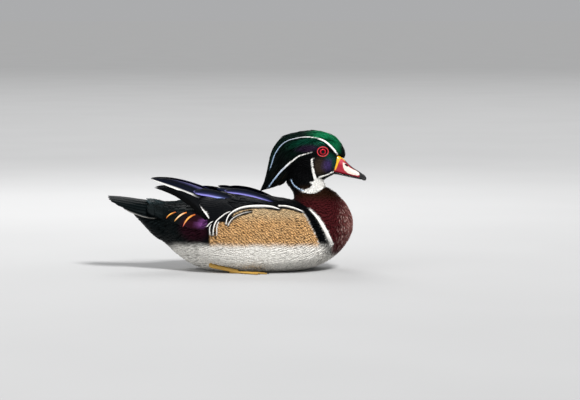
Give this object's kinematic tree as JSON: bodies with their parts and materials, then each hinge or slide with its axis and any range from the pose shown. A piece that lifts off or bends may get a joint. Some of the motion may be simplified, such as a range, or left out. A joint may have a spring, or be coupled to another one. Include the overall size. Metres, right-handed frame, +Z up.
{
  "type": "wood duck",
  "caption": "Life-size still model of a male wood duck swimming, with a long swept crest, folded wings and raised tail, resting on its belly.",
  "frame": {"origin": "on the floor, under the middle of the flat of the belly", "axes": "+X towards the bill, +Y to the bird's left side, +Z up"},
  "size_m": [0.3354, 0.1446, 0.18],
  "materials": {
    "breast_feathers": "soft satin feathers, maroon with white flecks, black and white bars before a tan flank",
    "head_feathers": "silky metallic green and purple feathers with white stripes",
    "wing_feathers": "glossy blue-black flight feathers and coverts with pale edges",
    "tail_feathers": "satin black feathers with a green tinge",
    "flank_feathers": "matt tan feathers with fine dark vermiculation, edged black and white",
    "plume_feathers": "narrow golden and maroon plumes",
    "bill_horn": "smooth horn, red and white with a yellow edge",
    "bill_black": "smooth black horn",
    "eye_glass": "polished red iris and black pupil under a clear surface",
    "eyelid_skin": "bare orange-red skin",
    "foot_skin": "scaled straw-yellow skin with dusky webs"
  },
  "bodies": {
    "root": {"torso": "breast_feathers", "neck": "head_feathers", "head": "head_feathers", "crest": "head_feathers", "bill_upper": "bill_horn", "bill_lower": "bill_black", "bill_nail": "bill_black", "eye_right": "eye_glass", "eye_left": "eye_glass", "eyelid_right": "eyelid_skin", "eyelid_left": "eyelid_skin", "wing_right": "wing_feathers", "wing_left": "wing_feathers", "primaries_right": "wing_feathers", "primaries_left": "wing_feathers", "flank_right": "flank_feathers", "flank_left": "flank_feathers", "rump": "tail_feathers", "undertail": "tail_feathers", "tail": "tail_feathers", "plume_right": "plume_feathers", "plume_left": "plume_feathers", "leg_right": "foot_skin", "leg_left": "foot_skin", "foot_right": "foot_skin", "foot_left": "foot_skin"}
  },
  "joints": []
}
